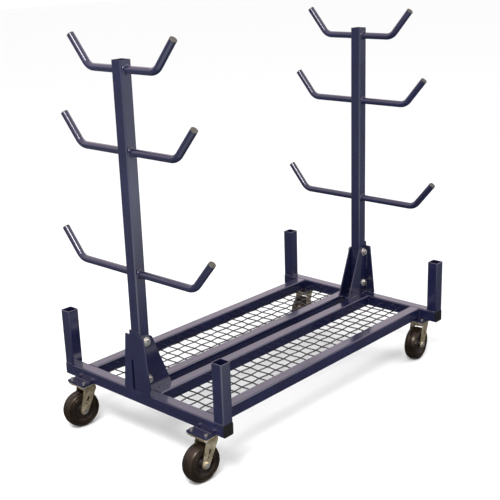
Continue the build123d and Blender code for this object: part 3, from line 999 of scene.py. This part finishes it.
def weld_arms():
    """Rippled ring of weld round the root of every arm, on the sides of the uprights."""
    let_go()
    bpy.ops.mesh.primitive_torus_add(
        major_radius=PIPE / 2 + 1.4 * MM,
        minor_radius=BEAD,
        major_segments=RING_SEGMENTS,
        minor_segments=BEAD_SIDES,
    )
    ring = started("weld_ring")
    edit(ring)
    step = math.tau / RING_SEGMENTS
    choose(ring, "VERT", lambda vert: round(math.atan2(vert.co.y, vert.co.x) / step) % 2 == 0)
    bpy.ops.transform.shrink_fatten(value=-0.6 * MM)
    bpy.ops.mesh.select_all(action="SELECT")
    bpy.ops.transform.vertex_random(offset=0.2 * MM, seed=3)
    let_go()
    ring.data.transform(Matrix.Rotation(math.radians(90), 4, "X"))
    for end in ENDS:
        rings = []
        post_low, post_high = span_of(f"upright_{end}")
        for tier in TIERS:
            arm_low, arm_high = span_of(f"arms_{end}_{tier}")
            for y in (post_low.y, post_high.y):
                place = ((arm_low.x + arm_high.x) / 2, y, arm_low.z + PIPE / 2)
                rings.append(copy_piece(ring, "ring", Matrix.Translation(place)))
        finish_as(join_pieces(rings, f"arm_welds_{end}"), f"upright_{end}", 50)
    discard(ring)


def weld_frame():
    """All beads of the deck, as one piece for each kind of joint."""
    stick = make_stick()
    for name, lay in (
        ("rail_welds", weld_rails),
        ("post_welds", weld_posts),
        ("bracket_welds", weld_brackets),
        ("pad_welds", weld_pads),
    ):
        beads = []
        lay(stick, beads)
        finish_as(join_pieces(beads, name), "end_rail_front", 50)
    discard(stick)


weld_frame()
weld_arms()


# ================================================================ stage
PAINTED_REFLECTION_SIDE = (-0.6, -1.0, 0)  # from the rack towards the side where the floor's reflection is painted brighter
CAMERA_PLACE = Vector((-2909.3, -2643.8, 1875.3)) * MM
CAMERA_AIM = Vector((27.0, 64.3, 630.3)) * MM
CAMERA_ROLL = -1.9
# place, aim, size and power
LIGHTS = {
    "key": ((-3.2, -2.0, 4.2), (0, 0, 0.6), 1.5, 150),
    "fill": ((2.5, -4.0, 3.0), (0, 0, 0.6), 3.0, 60),
    "glint": ((-2.9, -0.4, 4.1), (-0.5, 0.2, 1.3), 0.9, 45),
}


def make_floor():
    """Plain pale floor; glossy faces see it with painted shade, dark beneath the rack, and a painted brighter
    reflection towards one side.
    """
    let_go()
    bpy.ops.mesh.primitive_plane_add(size=60, location=(0, 0, 0))
    floor = started("floor")
    material, tree, shader = new_material("pale_floor", Roughness=0.9, Specular_IOR_Level=0.1)
    path = add_node(tree, "ShaderNodeLightPath")
    place = add_node(tree, "ShaderNodeTexCoord")
    away = add_node(tree, "ShaderNodeVectorMath", operation="LENGTH")
    far = add_node(tree, "ShaderNodeMapRange", {"From Min": 0.8, "From Max": 4.5})
    corner = add_node(tree, "ShaderNodeVectorMath", {1: PAINTED_REFLECTION_SIDE}, operation="DOT_PRODUCT")
    bright = add_node(tree, "ShaderNodeMapRange", {"From Min": 0.85, "From Max": 1.9})
    # painted shade: as glossy rays see it, the floor is dark beneath the rack and lighter farther out
    painted_shade_under_rack = add_node(
        tree,
        "ShaderNodeMix",
        {"A": (0.055, 0.055, 0.06, 1), "B": (0.20, 0.21, 0.23, 1)},
        data_type="RGBA",
    )
    # painted reflection: the floor seen in glossy faces is made brighter towards one side
    painted_bright_reflection = add_node(tree, "ShaderNodeMix", {"B": (0.75, 0.76, 0.79, 1)}, data_type="RGBA")
    mix = add_node(tree, "ShaderNodeMix", {"A": (0.93, 0.93, 0.93, 1)}, data_type="RGBA")
    tree.links.new(place.outputs["Object"], away.inputs[0])
    tree.links.new(place.outputs["Object"], corner.inputs[0])
    tree.links.new(away.outputs["Value"], far.inputs["Value"])
    tree.links.new(corner.outputs["Value"], bright.inputs["Value"])
    tree.links.new(far.outputs["Result"], painted_shade_under_rack.inputs["Factor"])
    tree.links.new(bright.outputs["Result"], painted_bright_reflection.inputs["Factor"])
    tree.links.new(painted_shade_under_rack.outputs["Result"], painted_bright_reflection.inputs["A"])
    tree.links.new(painted_bright_reflection.outputs["Result"], mix.inputs["B"])
    tree.links.new(path.outputs["Is Glossy Ray"], mix.inputs["Factor"])
    tree.links.new(mix.outputs["Result"], shader.inputs["Base Color"])
    floor.data.materials.append(material)


def make_light(name, place, aim, size, power):
    """Large soft area light turned towards a point."""
    lamp = bpy.data.lights.new(name, "AREA")
    lamp.shape = "DISK"
    lamp.size = size
    lamp.energy = power
    holder = bpy.data.objects.new(name, lamp)
    bpy.context.scene.collection.objects.link(holder)
    holder.location = place
    holder.rotation_euler = (Vector(aim) - Vector(place)).to_track_quat("-Z", "Y").to_euler()


def make_surroundings():
    """White room, evenly lit; reflections of it darken towards the walls' feet."""
    world = bpy.data.worlds.new("white_room")
    world.use_nodes = True
    bpy.context.scene.world = world
    tree = world.node_tree
    backdrop = tree.nodes["Background"]
    backdrop.inputs["Strength"].default_value = 1.05
    path = add_node(tree, "ShaderNodeLightPath")
    place = add_node(tree, "ShaderNodeTexCoord")
    split = add_node(tree, "ShaderNodeSeparateXYZ")
    height = add_node(tree, "ShaderNodeMapRange", {"From Min": 0.06, "From Max": 0.27})
    wall = add_node(
        tree,
        "ShaderNodeMix",
        {"A": (0.2, 0.2, 0.24, 1), "B": (1.02, 0.9, 0.98, 1)},
        data_type="RGBA",
    )
    tint = add_node(tree, "ShaderNodeMix", {"A": (1, 1, 1, 1)}, data_type="RGBA")
    tree.links.new(place.outputs["Generated"], split.inputs[0])
    tree.links.new(split.outputs["Z"], height.inputs["Value"])
    tree.links.new(height.outputs["Result"], wall.inputs["Factor"])
    tree.links.new(wall.outputs["Result"], tint.inputs["B"])
    tree.links.new(path.outputs["Is Glossy Ray"], tint.inputs["Factor"])
    tree.links.new(tint.outputs["Result"], backdrop.inputs["Color"])


def make_camera():
    """Camera at standing height off the front right corner."""
    lens = bpy.data.cameras.new("camera")
    lens.lens = 69.214
    lens.sensor_width = 36.0
    camera = bpy.data.objects.new("camera", lens)
    bpy.context.scene.collection.objects.link(camera)
    camera.location = CAMERA_PLACE
    level = (CAMERA_AIM - CAMERA_PLACE).to_track_quat("-Z", "Y").to_matrix().to_4x4()
    roll = Matrix.Rotation(math.radians(CAMERA_ROLL), 4, "Z")
    camera.rotation_euler = (level @ roll).to_euler()
    bpy.context.scene.camera = camera


make_floor()
for name, settings in LIGHTS.items():
    make_light(name, *settings)
make_surroundings()
make_camera()
bpy.context.scene.view_settings.view_transform = "Standard"
